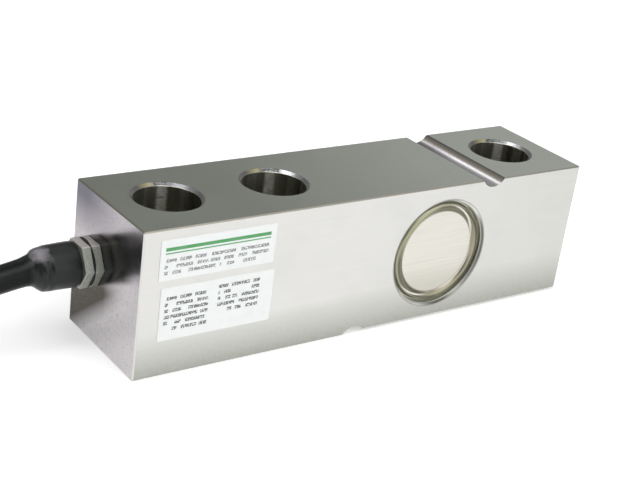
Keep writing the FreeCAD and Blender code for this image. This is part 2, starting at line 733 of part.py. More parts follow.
def flying_lead(place, spread):
    """One stripped wire, from the end sleeve down to the ground."""
    sleeve_end = CABLE_END_AXIS + V(END_TAIL + END_SLEEVE_LENGTH, 0, 0)
    start = sleeve_end + V(0, spread[0], spread[1]) * (LEAD_RING / math.sqrt(2))
    ground = sleeve_end + V(0, LEAD_SPREAD * place, LEAD_RADIUS - END_HEIGHT)
    points = [
        start,
        start + V(LEAD_REACH * 0.15, 0, 0),
        ground + V(LEAD_REACH * 0.65, 0, 0),
        ground + V(LEAD_REACH, 0, 0),
    ]
    return wire(points, LEAD_RADIUS)


# Labels


def label(place):
    """A foil label on the front face."""
    plate = rounded_plate(place["length"], place["height"], LABEL_THICKNESS, LABEL_CORNER)
    along = CABLE_END + place["from_end"] + place["length"] / 2
    height = BAR_HEIGHT - place["below_top"] - place["height"] / 2
    plate.translate(V(along, FRONT, height))
    return plate


route = [GLAND + step for step in ROUTE_FROM_GLAND]
hank = cable_hank()
nodes = {
    "beam": beam(),
    "front_cover": cover(-1),
    "rear_cover": cover(1),
    "compensation_board": compensation_board(),
    "zero_resistor": chip(-1),
    "span_resistor": chip(0),
    "temperature_resistor": chip(1),
    "gland_body": gland_body(),
    "gland_washer": gland_washer(),
    "gland_nut": gland_nut(),
    "gland_seal": gland_seal(),
    "gland_gasket": gland_gasket(),
    "cable_boot": cable_boot(route),
    "cable_lead": cable_lead(route, hank),
    "cable_hank": hank,
    "hank_tie": hank_tie(),
    "cable_tail": cable_tail(hank),
    "end_sleeve": end_sleeve(),
    "upper_label": label(UPPER_LABEL),
    "lower_label": label(LOWER_LABEL),
}
for name, side in (("front", -1), ("rear", 1)):
    nodes[f"{name}_gauge_film"] = gauge_film(side)
    nodes[f"{name}_left_grid"] = foil_grid(side, -1)
    nodes[f"{name}_right_grid"] = foil_grid(side, 1)
    nodes[f"{name}_terminal_strip"] = terminal_strip(side)
    nodes[f"{name}_jumpers"] = jumpers(side)
for pad in range(STRIP_PADS):
    nodes[f"web_wire_{pad + 1}"] = web_wire(pad)
    nodes[f"bridge_wire_{pad + 1}"] = bridge_wire(pad)
inner_wires = {"red": (-1, 1), "black": (1, 1), "drain": (0, 0), "green": (-1, -1), "white": (1, -1)}
for place, (colour, spread) in enumerate(inner_wires.items(), start=-2):
    radius = DRAIN_RADIUS if colour == "drain" else CONDUCTOR_RADIUS
    nodes[f"conductor_{colour}"] = conductor(place, spread, radius)
flying_leads = {"red": (-1, 1), "green": (-1, -1), "drain": (0, 0), "white": (1, -1), "black": (1, 1)}
for place, (colour, spread) in enumerate(flying_leads.items(), start=-2):
    nodes[f"lead_{colour}"] = flying_lead(place, spread)

os.makedirs("parts", exist_ok=True)
for name, shape in nodes.items():
    shape.exportStep(f"parts/{name}.step")
    print(f"{name}: {len(shape.Solids)} solid(s), {shape.Volume:.2f} mm3, valid {shape.isValid()}")
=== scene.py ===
# %% [markdown]
# # A shear-beam load cell, dressed for its picture
# A load cell is a steel bar that bends a little under a weight and tells how much. The solid model already
# holds the bar, its covers, gland and wiring, so this lesson adds what solids leave out: the cable's smooth
# line, the shrunk boot, the finishes, the light and the camera. Lengths below are written in millimetres and
# turned into Blender's metres where they are used.

# %% Load the solid model
import math

import bpy
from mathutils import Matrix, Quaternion, Vector


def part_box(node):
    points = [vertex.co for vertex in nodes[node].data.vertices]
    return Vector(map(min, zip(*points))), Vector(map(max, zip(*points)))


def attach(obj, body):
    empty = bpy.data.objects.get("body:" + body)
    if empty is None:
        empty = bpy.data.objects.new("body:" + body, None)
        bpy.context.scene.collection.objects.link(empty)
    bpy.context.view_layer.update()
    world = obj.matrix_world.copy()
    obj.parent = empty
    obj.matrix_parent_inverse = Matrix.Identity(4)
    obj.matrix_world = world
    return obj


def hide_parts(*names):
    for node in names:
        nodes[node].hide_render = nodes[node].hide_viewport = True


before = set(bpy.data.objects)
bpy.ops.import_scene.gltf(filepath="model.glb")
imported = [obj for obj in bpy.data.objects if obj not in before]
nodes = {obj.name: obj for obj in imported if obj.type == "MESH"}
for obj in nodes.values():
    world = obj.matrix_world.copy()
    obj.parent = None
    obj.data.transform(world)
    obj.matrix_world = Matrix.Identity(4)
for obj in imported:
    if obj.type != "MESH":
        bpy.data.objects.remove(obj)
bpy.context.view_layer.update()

MM = 0.001

# %% [markdown]
# ## Camera
# The picture looks down on the cable end of the bar from its front. A camera could be placed by eye, but here
# its lens and place were worked out from the bar's corners, so they are written as numbers: where it stands,
# the point on the front face that it looks at, how far it leans to one side, and its lens.

# %% Camera
CAMERA_PLACE = Vector((-264.55, -323.85, 206.14)) * MM
CAMERA_AIM = Vector((-26.33, -20.91, 33.18)) * MM
CAMERA_LEAN = math.radians(7.92)
CAMERA_LENS = 79.67
SENSOR_WIDTH = 36.0

camera = bpy.data.objects.new("camera", bpy.data.cameras.new("camera"))
camera.data.sensor_width = SENSOR_WIDTH
camera.data.lens = CAMERA_LENS
camera.location = CAMERA_PLACE
camera.rotation_mode = "QUATERNION"
level = (CAMERA_AIM - CAMERA_PLACE).to_track_quat("-Z", "Y")
camera.rotation_quaternion = level @ Quaternion((0, 0, 1), CAMERA_LEAN)
bpy.context.collection.objects.link(camera)
bpy.context.scene.camera = camera
print("camera stands", round((CAMERA_AIM - CAMERA_PLACE).length / MM), "mm from the front face")

# %% [markdown]
# ## Cable
# The cable is a round 6 mm cord of about 3 m. Its first stretch leaves the gland and sags to the left. The
# rest is put away as a tied hank in line with the bar: turns shaped like a figure with two round ends and a
# narrow waist. One open NURBS spline carries all of it, because a real cable has one smooth line from end to
# end. A spline of order 3 touches the middle of each side of its control polygon, so points placed a little
# outside a circle give that circle. The bevel is 1 m deep and each point scales it down to the cable's
# radius, because Blender grows a curve's box by its points' radii.

# %% Sizes of the hank, and its arcs
CABLE_DIAMETER = 6.0
LEAD_POINTS = [
    Vector((-84.725, 7.7, 26.3)),
    Vector((-99.5, 7.7, 26.3)),
    Vector((-106.225, 7.7, 26.3)),
    Vector((-143.725, 7.7, 20.1)),
    Vector((-171.225, 19.6, 21.3)),
]
HANK_CENTRE = Vector((-224.725, 0, 0))
HALF_SPAN = 38.0
TURN_PITCH = 6.1
FOLD_RADIUS = {"outer": 24.1, "inner": 18.0}
WAIST_HALF = {"outer": 9.15, "inner": 3.05}
HANK_LAYERS = 5
WAIST_SQUEEZE = 0.915
WINDING = [("outer", 4), ("outer", 5), ("inner", 5), ("inner", 4), ("inner", 3)]
WINDING += [("outer", 3), ("outer", 2), ("inner", 2), ("inner", 1), ("outer", 1)]
LOBE_POINTS = 6
WAIST_POINTS = 3


def layer_height(layer):
    """How high the cable's middle lies in a layer of the hank."""
    return (layer - 0.5) * TURN_PITCH


def round_points(centre, radius, start, end, count):
    """Control points that draw an arc about centre, between two angles in degrees."""
    step = math.radians(end - start) / count
    reach = radius / math.cos(step / 2)
    angles = [math.radians(start) + step * (i + 0.5) for i in range(count)]
    return [centre + Vector((math.cos(a), math.sin(a), 0)) * reach for a in angles]


def waist_centre(column):
    """How far the waist's hollow has its centre from the middle line, and the hollow's radius."""
    fold = FOLD_RADIUS[column]
    waist = WAIST_HALF[column]
    hollow = (HALF_SPAN**2 + waist**2 - fold**2) / (2 * (fold - waist))
    return waist + hollow, hollow


def lobe_join(column):
    """The angle in degrees at which a round end meets the waist."""
    return math.degrees(math.atan2(waist_centre(column)[0], HALF_SPAN))


print("hank:", len(WINDING), "turns in", HANK_LAYERS, "layers")

# %% Control points of the cable
ENTRY_ANGLE = 66
ENTRY_POINTS = 2
END_ANGLE = 270
TAIL_POINTS = [Vector((-252.8, -24.1, 3.2)), Vector((-230.2, -24.1, 3.5))]


def waist_points(column, side, height):
    """Control points of one side of the waist, in the way that the cable runs there."""
    away, hollow = waist_centre(column)
    join = lobe_join(column)
    middle_height = HANK_LAYERS * TURN_PITCH / 2
    squeezed = middle_height + (height - middle_height) * WAIST_SQUEEZE
    centre = Vector((0, side * away, squeezed))
    if side > 0:
        return round_points(centre, hollow, -join, join - 180, WAIST_POINTS)
    return round_points(centre, hollow, 180 - join, join, WAIST_POINTS)


def far_lobe(column, height, leave, count):
    """The end away from the bar, up to the angle at which the cable leaves it."""
    centre = Vector((-HALF_SPAN, 0, height))
    return round_points(centre, FOLD_RADIUS[column], lobe_join(column), leave, count)


def near_lobe(cell, next_cell):
    """The end next to the bar, where the cable moves over to its next turn."""
    join = 180 - lobe_join(cell[0])
    paths = []
    for column, layer in (cell, next_cell):
        centre = Vector((HALF_SPAN, 0, layer_height(layer)))
        paths.append(round_points(centre, FOLD_RADIUS[column], -join, join, LOBE_POINTS))
    share = [i / (LOBE_POINTS - 1) for i in range(LOBE_POINTS)]
    return [here.lerp(there, part) for here, there, part in zip(*paths, share)]


def hank_points():
    """Control points of all the turns, in the order in which the cable is wound."""
    first_column, first_layer = WINDING[0]
    entry = Vector((HALF_SPAN, 0, layer_height(first_layer)))
    join = 180 - lobe_join(first_column)
    points = round_points(entry, FOLD_RADIUS[first_column], ENTRY_ANGLE, join, ENTRY_POINTS)
    for turn, (column, layer) in enumerate(WINDING):
        height = layer_height(layer)
        points += waist_points(column, 1, height)
        if turn == len(WINDING) - 1:
            points += far_lobe(column, height, END_ANGLE, LOBE_POINTS - 1)
            break
        points += far_lobe(column, height, 360 - lobe_join(column), LOBE_POINTS)
        points += waist_points(column, -1, height)
        points += near_lobe((column, layer), WINDING[turn + 1])
    return [HANK_CENTRE + point for point in points]


cable_points = LEAD_POINTS + hank_points() + TAIL_POINTS
print("cable control points:", len(cable_points))

# %% The cable's spline
CURVE_STEPS = 6
BEVEL_STEPS = 4

cable_curve = bpy.data.curves.new("cable", "CURVE")
cable_curve.dimensions = "3D"
cable_curve.resolution_u = CURVE_STEPS
spline = cable_curve.splines.new("NURBS")
spline.points.add(len(cable_points) - 1)
for control, point in zip(spline.points, cable_points):
    control.co = (*point * MM, 1.0)
    control.radius = CABLE_DIAMETER / 2 * MM
spline.order_u = 3
spline.use_endpoint_u = True
cable = bpy.data.objects.new("cable", cable_curve)
bpy.context.collection.objects.link(cable)

centreline_mesh = bpy.data.meshes.new_from_object(cable)
centreline = [vertex.co.copy() for vertex in centreline_mesh.vertices]
bpy.data.meshes.remove(centreline_mesh)
runs = [(b - a).length for a, b in zip(centreline, centreline[1:])]
print("cable length:", round(sum(runs), 3), "m")

cable_curve.bevel_depth = 1.0
cable_curve.bevel_resolution = BEVEL_STEPS
cable_curve.use_fill_caps = True
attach(cable, "root")
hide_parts("cable_lead", "cable_hank", "cable_tail")

# %% [markdown]
# ## Boot
# A sleeve of black rubber is shrunk over the gland's nose and the cable. Over the nose it is a plain round
# body. Then it draws in: nearly straight along the top, but with a swollen shoulder below and two low rolls
# of slack rubber on the sides. A lathe could only give an even shape, so the boot is lofted here: rings of
# points stand square to the cable's own line, and each ring has its own reach up, sideways and down.

# %% Rings of the boot along the cable
BOOT_RINGS = [
    # way along the cable from the end face, then reach up, sideways and down
    (6.4, 6.5, 6.5, 6.5),
    (6.7, 6.98, 6.98, 6.95),
    (8.0, 7.02, 7.02, 6.97),
    (11.5, 6.95, 6.95, 6.88),
    (14.4, 6.86, 6.84, 6.84),
    (15.3, 6.82, 7.0, 6.9),
    (15.9, 6.76, 6.6, 6.9),
    (16.4, 6.68, 6.3, 6.9),
    (17.0, 6.54, 6.6, 6.83),
    (17.9, 6.28, 6.7, 6.6),
    (18.7, 5.95, 6.15, 6.2),
    (19.3, 5.65, 5.05, 5.65),
    (19.8, 5.42, 4.5, 5.15),
    (20.5, 5.18, 4.45, 4.55),
    (21.4, 4.92, 4.5, 4.1),
    (22.6, 4.6, 4.4, 3.8),
    (25.0, 4.45, 4.3, 3.75),
    (30.0, 4.35, 4.25, 3.9),
    (44.0, 4.2, 4.2, 4.1),
    (44.6, 3.9, 3.9, 3.9),
]
BOOT_SEGMENTS = 48
END_FACE_WAY = 1.0


def along_cable(way):
    """The point and heading of the cable at a way from the end face, in metres."""
    left = (way + END_FACE_WAY) * MM
    for start, end in zip(centreline, centreline[1:]):
        run = end - start
        if left <= run.length:
            return start + run.normalized() * left, run.normalized()
        left -= run.length
    raise ValueError("the boot is longer than the cable")


def ring(way, reaches):
    """Points round the cable, with a reach for up, both sides and down."""
    up_reach, side_reach, down_reach = reaches
    middle, heading = along_cable(way)
    side = heading.cross(Vector((0, 0, 1))).normalized()
    up = side.cross(heading)
    points = []
    for i in range(BOOT_SEGMENTS):
        turn = math.tau * i / BOOT_SEGMENTS
        height = math.cos(turn)
        pole_reach = up_reach if height > 0 else down_reach
        reach = side_reach + (pole_reach - side_reach) * height**2
        points.append(middle + (side * math.sin(turn) + up * height) * reach * MM)
    return points


outside = [ring(way, reaches) for way, *reaches in BOOT_RINGS]
print("boot:", len(outside), "rings of", BOOT_SEGMENTS, "points")

# %% The boot's skin
NOSE_WAY = 14.5
NOSE_REACH = 5.56
JACKET_REACH = 3.02


def tube_mesh(name, rings):
    """A closed skin through the rings, from the last back to the first."""
    count = len(rings[0])
    faces = []
    for r in range(len(rings)):
        here = r * count
        ahead = (r + 1) % len(rings) * count
        for i in range(count):
            j = (i + 1) % count
            faces.append((here + i, here + j, ahead + j, ahead + i))
    mesh = bpy.data.meshes.new(name)
    mesh.from_pydata([point for points in rings for point in points], [], faces)
    mesh.shade_smooth()
    mesh.update()
    return mesh


inside = []
for way, *_ in reversed(BOOT_RINGS):
    inner_reach = NOSE_REACH if way < NOSE_WAY else JACKET_REACH
    inside.append(ring(way, (inner_reach,) * 3))
boot = bpy.data.objects.new("boot", tube_mesh("boot", outside + inside))
bpy.context.collection.objects.link(boot)
rounding = boot.modifiers.new("rounding", "SUBSURF")
rounding.levels = 1
rounding.render_levels = 1
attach(boot, "root")
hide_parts("cable_boot")
print("boot:", len(boot.data.vertices), "points, inside and outside")

# %% [markdown]
# ## What the cable is
# The cable is the one loose piece.

# %% [markdown]
# ## Maths with sockets
# A finish is a tree of nodes, and its masks take much arithmetic. Math nodes could be linked one by one,
# which is long to write and hard to read. Here a small class holds one socket of a tree, and Python's own
# operators on it add the nodes, so that a mask reads like a formula.

# %% Socket maths for the finishes
class Field:
    """One socket of a node tree. Python's operators on it add Math nodes."""

    def __init__(self, tree, socket=None):
        self.tree = tree
        self.socket = socket

    def node(self, kind, settings=None, sockets=None, out=0):
        """Any node: its settings first, then its sockets' values or links. Gives one of its outputs."""
        made = self.tree.nodes.new(kind)
        for name, value in (settings or {}).items():
            if name == "stops":
                set_stops(made.color_ramp, value)
            else:
                setattr(made, name, value)
        for name, value in (sockets or {}).items():
            if isinstance(value, Field):
                self.tree.links.new(value.socket, made.inputs[name])
            else:
                made.inputs[name].default_value = value
        return Field(self.tree, made.outputs[out] if made.outputs else None)

    def maths(self, operation, *values):
        return self.node("ShaderNodeMath", {"operation": operation}, dict(enumerate(values)))

    def __add__(self, other):
        return self.maths("ADD", self, other)

    def __radd__(self, other):
        return self.maths("ADD", other, self)

    def __sub__(self, other):
        return self.maths("SUBTRACT", self, other)

    def __rsub__(self, other):
        return self.maths("SUBTRACT", other, self)

    def __mul__(self, other):
        return self.maths("MULTIPLY", self, other)

    def __rmul__(self, other):
        return self.maths("MULTIPLY", other, self)

    def __truediv__(self, other):
        return self.maths("DIVIDE", self, other)

    def __rtruediv__(self, other):
        return self.maths("DIVIDE", other, self)

    def __pow__(self, other):
        return self.maths("POWER", self, other)

    def __gt__(self, other):
        return self.maths("GREATER_THAN", self, other)

    def __lt__(self, other):
        return self.maths("LESS_THAN", self, other)

    def __abs__(self):
        return self.maths("ABSOLUTE", self)


def set_stops(ramp, stops):
    """A colour ramp's stops, as (place, colour) pairs."""
    while len(ramp.elements) < len(stops):
        ramp.elements.new(1.0)
    for element, (place, colour) in zip(ramp.elements, stops):
        element.position = place
        element.color = colour


def grey(value):
    return (value, value, value, 1.0)


def ramp(value, low, high):
    """0 at low, 1 at high and an even run between. Where low is the greater one, it falls."""
    sockets = {"Value": value, "From Min": low, "From Max": high}
    return value.node("ShaderNodeMapRange", {"clamp": True}, sockets)


def blend(factor, first, second):
    """A colour between two, by a factor."""
    settings = {"data_type": "RGBA", "clamp_factor": True}
    return factor.node("ShaderNodeMix", settings, {0: factor, 6: first, 7: second}, out=2)


# %% [markdown]
# ## Floor and light
# The picture has a white ground with hardly a shadow. The floor is a plain matt sheet, with a little light of
# its own for the camera and for reflections, so that it reads as white while the bar's soft shadow stays on
# it. Steel shows what stands round it, so the room matters more than the lamp. It is bright overhead and has
# dark walls, which give the steel its contrast. Soft patches do what cards do in a studio: a paler wall on
# the right, which the far end of the top mirrors, a dark side at the front left, small bright lights high at
# the back and overhead, and a bright card at the front right. Lamps could do the same, but a patch of the
# room has soft edges, and so has its mirror image in the steel.

# %% Floor
def make_material(name):
    """An empty material, and a field to add its nodes with."""
    material = bpy.data.materials.new(name)
    material.use_nodes = True
    material.node_tree.nodes.clear()
    return material, Field(material.node_tree)


FLOOR_REACH = 6.0
FLOOR_HEIGHT = -0.0001
FLOOR_TONE = grey(0.82)
FLOOR_OWN_LIGHT = 0.36

floor_finish, field = make_material("floor_sheet")
path = "ShaderNodeLightPath"
seen = field.node(path, out="Is Camera Ray")
mirrored = field.node(path, out="Is Glossy Ray") + field.node(path, out="Is Transmission Ray")
matt = field.node("ShaderNodeBsdfDiffuse", {}, {"Color": FLOOR_TONE})
own_light = field.node("ShaderNodeEmission", {}, {"Color": grey(1.0), "Strength": FLOOR_OWN_LIGHT})
lit = field.node("ShaderNodeAddShader", {}, {0: matt, 1: own_light})
shown = field.node("ShaderNodeMixShader", {}, {0: seen + mirrored, 1: matt, 2: lit})
field.node("ShaderNodeOutputMaterial", {}, {"Surface": shown})

floor_mesh = bpy.data.meshes.new("floor")
corners = [(-FLOOR_REACH, -FLOOR_REACH), (FLOOR_REACH, -FLOOR_REACH)]
corners += [(FLOOR_REACH, FLOOR_REACH), (-FLOOR_REACH, FLOOR_REACH)]
floor_mesh.from_pydata([(x, y, FLOOR_HEIGHT) for x, y in corners], [], [(0, 1, 2, 3)])
floor = bpy.data.objects.new("floor", floor_mesh)
floor_mesh.materials.append(floor_finish)
bpy.context.collection.objects.link(floor)
print("floor:", FLOOR_REACH * 2, "m square")

# %% The room
ROOM_STOPS = [(0.0, grey(0.75)), (0.08, grey(0.6)), (0.2, grey(0.3)), (0.32, grey(0.17))]
ROOM_STOPS += [(0.55, grey(0.2)), (0.78, grey(0.72)), (1.0, grey(0.85))]
ROOM_PATCHES = [
    # which way the patch lies, the cosines at which it starts and is full, and its tone
    ((0.80, 0.55, 0.25), (0.90, 0.99), grey(0.5)),
    ((-0.56, -0.72, 0.36), (0.74, 0.95), grey(0.04)),
    ((0.03, 0.72, 0.69), (0.988, 0.997), grey(2.6)),
    ((-0.49, 0.02, 0.87), (0.982, 0.993), grey(6.0)),
    ((0.45, -0.80, 0.36), (0.87, 0.95), grey(1.9)),
]

world = bpy.data.worlds.new("studio")
world.use_nodes = True
world.node_tree.nodes.clear()
bpy.context.scene.world = world
field = Field(world.node_tree)
heading = field.node("ShaderNodeTexCoord", out="Generated")
height = field.node("ShaderNodeSeparateXYZ", {}, {0: heading}, out="Z")
room = field.node("ShaderNodeValToRGB", {"stops": ROOM_STOPS}, {0: height})
dot = {"operation": "DOT_PRODUCT"}
for way, reach, patch_tone in ROOM_PATCHES:
    sockets = {0: heading, 1: Vector(way).normalized()}
    nearness = field.node("ShaderNodeVectorMath", dot, sockets, out="Value")
    room = blend(ramp(nearness, *reach), room, patch_tone)
sky = field.node("ShaderNodeBackground", {}, {"Color": room, "Strength": 1.0})
field.node("ShaderNodeOutputWorld", {}, {"Surface": sky})
print("room:", len(ROOM_STOPS), "tones by height and", len(ROOM_PATCHES), "patches")

# %% The lamp
LAMP_PLACE = Vector((-0.20, -0.69, 1.48))
LAMP_SIZE = 1.1
LAMP_POWER = 10.7

lamp_light = bpy.data.lights.new("softbox", "AREA")
lamp_light.shape = "SQUARE"
lamp_light.size = LAMP_SIZE
lamp_light.energy = LAMP_POWER
lamp = bpy.data.objects.new("softbox", lamp_light)
lamp.location = LAMP_PLACE
lamp.rotation_mode = "QUATERNION"
lamp.rotation_quaternion = (-LAMP_PLACE).to_track_quat("-Z", "Y")
bpy.context.collection.objects.link(lamp)
bpy.context.scene.view_settings.view_transform = "Standard"
print("lamp:", LAMP_POWER, "W over", LAMP_SIZE, "m")

# %% [markdown]
# ## Tools for the finishes
# Each finish is a recipe: a function that builds fields over the surface and gives the values of one
# Principled shader. The fields start from the point's place in millimetres, because the grain of a ground
# bar has a size in millimetres, whatever the size of the piece.

# %% Recipes and their small helpers
def make_finish(name, recipe):
    """A material whose Principled shader takes the sockets that the recipe gives."""
    material, field = make_material(name)
    shader = field.node("ShaderNodeBsdfPrincipled", {}, recipe(field))
    field.node("ShaderNodeOutputMaterial", {}, {"Surface": shader})
    return material


def place_mm(field):
    """The point's place on the object, in millimetres."""
    place = field.node("ShaderNodeTexCoord", out="Object")
    return field.node("ShaderNodeVectorMath", {"operation": "SCALE"}, {0: place, "Scale": 1 / MM})


def parts(vector):
    """The three numbers of a vector."""
    return [vector.node("ShaderNodeSeparateXYZ", {}, {0: vector}, out=axis) for axis in "XYZ"]


def stretched(vector, x, y, z):
    """The vector with each of its numbers scaled, so that noise on it has a grain."""
    return vector.node("ShaderNodeVectorMath", {"operation": "MULTIPLY"}, {0: vector, 1: (x, y, z)})


def noise(vector, scale, detail=2.0, roughness=0.5):
    settings = {"noise_dimensions": "3D"}
    sockets = {"Vector": vector, "Scale": scale, "Detail": detail, "Roughness": roughness}
    return vector.node("ShaderNodeTexNoise", settings, sockets, out=0)


def bump(height, depth):
    """A normal from a height field, whose full rise is depth in millimetres."""
    sockets = {"Height": height, "Distance": depth * MM, "Strength": 1.0}
    return height.node("ShaderNodeBump", {}, sockets)


def rgb(red, green, blue):
    return (red, green, blue, 1.0)


def dress(finish, *names):
    """Gives solid pieces a finish."""
    for name in names:
        for slot in nodes[name].material_slots:
            slot.material = finish
    print(finish.name, "on", ", ".join(names))


# %% [markdown]
# ## Ground steel of the bar
# The bar is ground stainless steel. Its front is pale, with fine lines along the bar and smudges, and painted
# shade darkens its foot. Its top and its end have their own tone from another pass of the grinder, painted
# shade darkens the top towards the cable end, and the holes are turned. Painted shade darkens the broken
# edges that face up, and the groove across the top is tinted. Each face could have a material of its own, but
# the bar is one solid, so one recipe serves all: the way that the surface faces and the distance from the
# holes pick the tone, and drawn-out noise gives the lines.

# %% Masks on the bar
HOLE_PLACES = [-66.675, -28.575, 66.675]
BORE_REACH = 10.35
RIM_REACH = 11.3
COVER_X = 26.675
COVER_Z = 23.6
GROOVE_X = 45.575
GROOVE_HALF = 4.7
GROOVE_FLOOR = 44.9
BAR_TOP = 47.68


def hole_reach(x, y):
    """The square of the distance from the nearest hole's axis."""
    nearest = hole_offset(x)
    return nearest * nearest + y * y


def hole_offset(x):
    """How far along the bar a point is from the nearest hole's axis."""
    offset = x - HOLE_PLACES[0]
    for before, hole in zip(HOLE_PLACES, HOLE_PLACES[1:]):
        past = x > (before + hole) / 2
        offset = offset - past * (hole - before)
    return offset


def hole_sector(x, y, reach, turn, wide, drift=0.0):
    """1 on the stretch of the holes' walls that lies at one angle in degrees, with a soft width in degrees.

    The angle falls by the drift with each millimetre along the bar.
    """
    angle = math.radians(turn) - x * math.radians(drift)
    cosine = angle.maths("COSINE", angle)
    sine = angle.maths("SINE", angle)
    toward = hole_offset(x) * cosine + y * sine
    edge = math.cos(math.radians(wide))
    return ramp(toward / reach**0.5, edge, edge + (1 - edge) * 0.7)


def cover_reach(x, z):
    """The distance from the axis of the round covers."""
    away_x = x - COVER_X
    away_z = z - COVER_Z
    return (away_x * away_x + away_z * away_z) ** 0.5


def cover_sweep(x, z, reach, turn=48):
    """A mask for painted gleams on turned metal at two opposite places: 1 at an angle in degrees and across
    from it, 0 between.
    """
    angle = math.radians(turn)
    across = (x - COVER_X) * math.cos(angle) + (z - COVER_Z) * math.sin(angle)
    return ramp(abs(across) / reach, 0.72, 0.97)


def cover_side(x, z, reach, turn):
    """1 at one angle in degrees round the covers, 0 elsewhere."""
    angle = math.radians(turn)
    toward = (x - COVER_X) * math.cos(angle) + (z - COVER_Z) * math.sin(angle)
    return ramp(toward / reach, 0.86, 0.97)


def joined(x, y, z):
    """A vector from three numbers, of which the first is a field."""
    return x.node("ShaderNodeCombineXYZ", {}, {0: x, 1: y, 2: z})


def scratches(x, y, turn, scale):
    """Sparse thin lines across a face, all leaning by one angle in degrees."""
    cosine = math.cos(math.radians(turn))
    sine = math.sin(math.radians(turn))
    along = x * cosine + y * sine
    across = y * cosine - x * sine
    field = noise(joined(along * 0.05, across * 1.6, turn), scale, 1.0)
    return ramp(field, 0.69, 0.75)


print("holes at", HOLE_PLACES, "mm along the bar, covers at", COVER_X, "mm")

# %% [markdown]
# ## The cable end
# The end face at the gland is palest at its foot and dark at its upper back. A brown patch below the gland is
# a painted dark reflection, and a dark band from the gland up to the front edge is a painted reflection of
# the boot. Such marks could be painted by hand, but a mark that is worked out from heights and from the
# distance to a line stays soft and true at any size.

# %% Tone of the cable end
END_FOOT = rgb(0.57, 0.545, 0.56)
END_TONE = rgb(0.43, 0.405, 0.425)
END_UPPER = rgb(0.125, 0.12, 0.15)
# painted dark reflection: a brown patch below the gland
END_DARK_REFLECTION = rgb(0.032, 0.028, 0.014)
# painted reflection of the boot: a dark band from the gland
END_BOOT_REFLECTION = rgb(0.028, 0.028, 0.026)
END_SPECK = rgb(0.16, 0.12, 0.11)
FOOT_ENDS = (20, 34)
UPPER_STARTS = (32, 44)
UPPER_BACK = (-8, 13)
# where the painted dark reflection below the gland lies
DARK_REFLECTION_SLOPE = 0.78
DARK_REFLECTION_HEIGHT = 16.0
DARK_REFLECTION_EDGE = (-6, 1.5)
DARK_REFLECTION_FRONT = (-16, 0)
DARK_REFLECTION_TOP = (30, 20)
# where the painted reflection of the boot lies
BOOT_REFLECTION_START = (7.7, 26.3)
BOOT_REFLECTION_WAY = (-0.905, 0.425)
BOOT_REFLECTION_LENGTH = 28.0
BOOT_REFLECTION_EDGE = (7.8, 6.2)
BOOT_REFLECTION_FADE = (18, 25)


def boot_reflection(y, z):
    """A painted reflection of the boot: a straight dark band from the gland that fades towards its far end.
    """
    away_y = y - BOOT_REFLECTION_START[0]
    away_z = z - BOOT_REFLECTION_START[1]
    along = ramp(away_y * BOOT_REFLECTION_WAY[0] + away_z * BOOT_REFLECTION_WAY[1], 0, BOOT_REFLECTION_LENGTH) * BOOT_REFLECTION_LENGTH
    aside_y = away_y - along * BOOT_REFLECTION_WAY[0]
    aside_z = away_z - along * BOOT_REFLECTION_WAY[1]
    aside = (aside_y * aside_y + aside_z * aside_z) ** 0.5
    return ramp(aside, *BOOT_REFLECTION_EDGE) * (0.95 - 0.7 * ramp(along, *BOOT_REFLECTION_FADE))


def end_tone(y, z, mottle, pits):
    """The cable end's colour, with its painted dark reflections and its specks."""
    tone = blend(ramp(z, *FOOT_ENDS), END_FOOT, END_TONE)
    tone = blend(ramp(z, *UPPER_STARTS) * ramp(y, *UPPER_BACK), tone, END_UPPER)
    # painted dark reflection below the gland
    above_line = z + y * DARK_REFLECTION_SLOPE - DARK_REFLECTION_HEIGHT
    dark_reflection = ramp(above_line, *DARK_REFLECTION_EDGE) * ramp(y, *DARK_REFLECTION_FRONT) * ramp(z, *DARK_REFLECTION_TOP)
    tone = blend(dark_reflection, tone, END_DARK_REFLECTION)
    # painted reflection of the boot
    tone = blend(boot_reflection(y, z), tone, END_BOOT_REFLECTION)
    return blend(ramp(mottle, 0.5, 0.8) * 0.25 + pits * 0.5, tone, END_SPECK)


# the band is the painted reflection of the boot
print("grime runs", BOOT_REFLECTION_LENGTH, "mm from the gland")

# %% [markdown]
# ## Holes and recess
# The three holes were bored and their rims broken, and the recess of the cover was turned. A cutter leaves
# fine rings. The narrow bright streaks down the bores are painted highlights, and the rims have painted
# shade, painted highlights and a painted straw-coloured reflection, with more painted shade on the rim next
# to the cable. The recess has a pale wall, a dark chamfer with painted highlights and painted shade at its
# lowest part, and a fine dark line at its mouth. All of it could be cut into more pieces, but soft sectors at
# set angles round each axis keep the bar whole.

# %% Tones of the bores and their rims
BORE_TONE = rgb(0.34, 0.34, 0.28)
BORE_LINE = rgb(0.62, 0.62, 0.55)
# painted highlight: the bright streaks down the bores
BORE_STREAK = rgb(0.80, 0.80, 0.73)
RIM_TONE = rgb(0.31, 0.315, 0.31)
# painted shade, painted highlights, a painted straw reflection and more painted shade next to the cable
RIM_SHADE = rgb(0.055, 0.057, 0.056)
RIM_BRIGHT = rgb(0.70, 0.69, 0.73)
RIM_STRAW = rgb(0.40, 0.365, 0.235)
RIM_CABLE_SHADE = rgb(0.17, 0.17, 0.18)
MAIN_STREAK = {"turn": 59.8, "wide": 11, "drift": 0.139}
SIDE_STREAK = {"turn": 18, "wide": 14, "drift": 0.139}
SHADE_SECTOR = {"turn": 68, "wide": 36}
STRAW_SECTOR = {"turn": 95, "wide": 17, "drift": 0.07}
BRIGHT_SECTOR = {"turn": 30, "wide": 16, "drift": 0.14}
CABLE_SHADE_SECTOR = {"turn": 38, "wide": 26}
CABLE_SHADE_STARTS = (-37, -58)


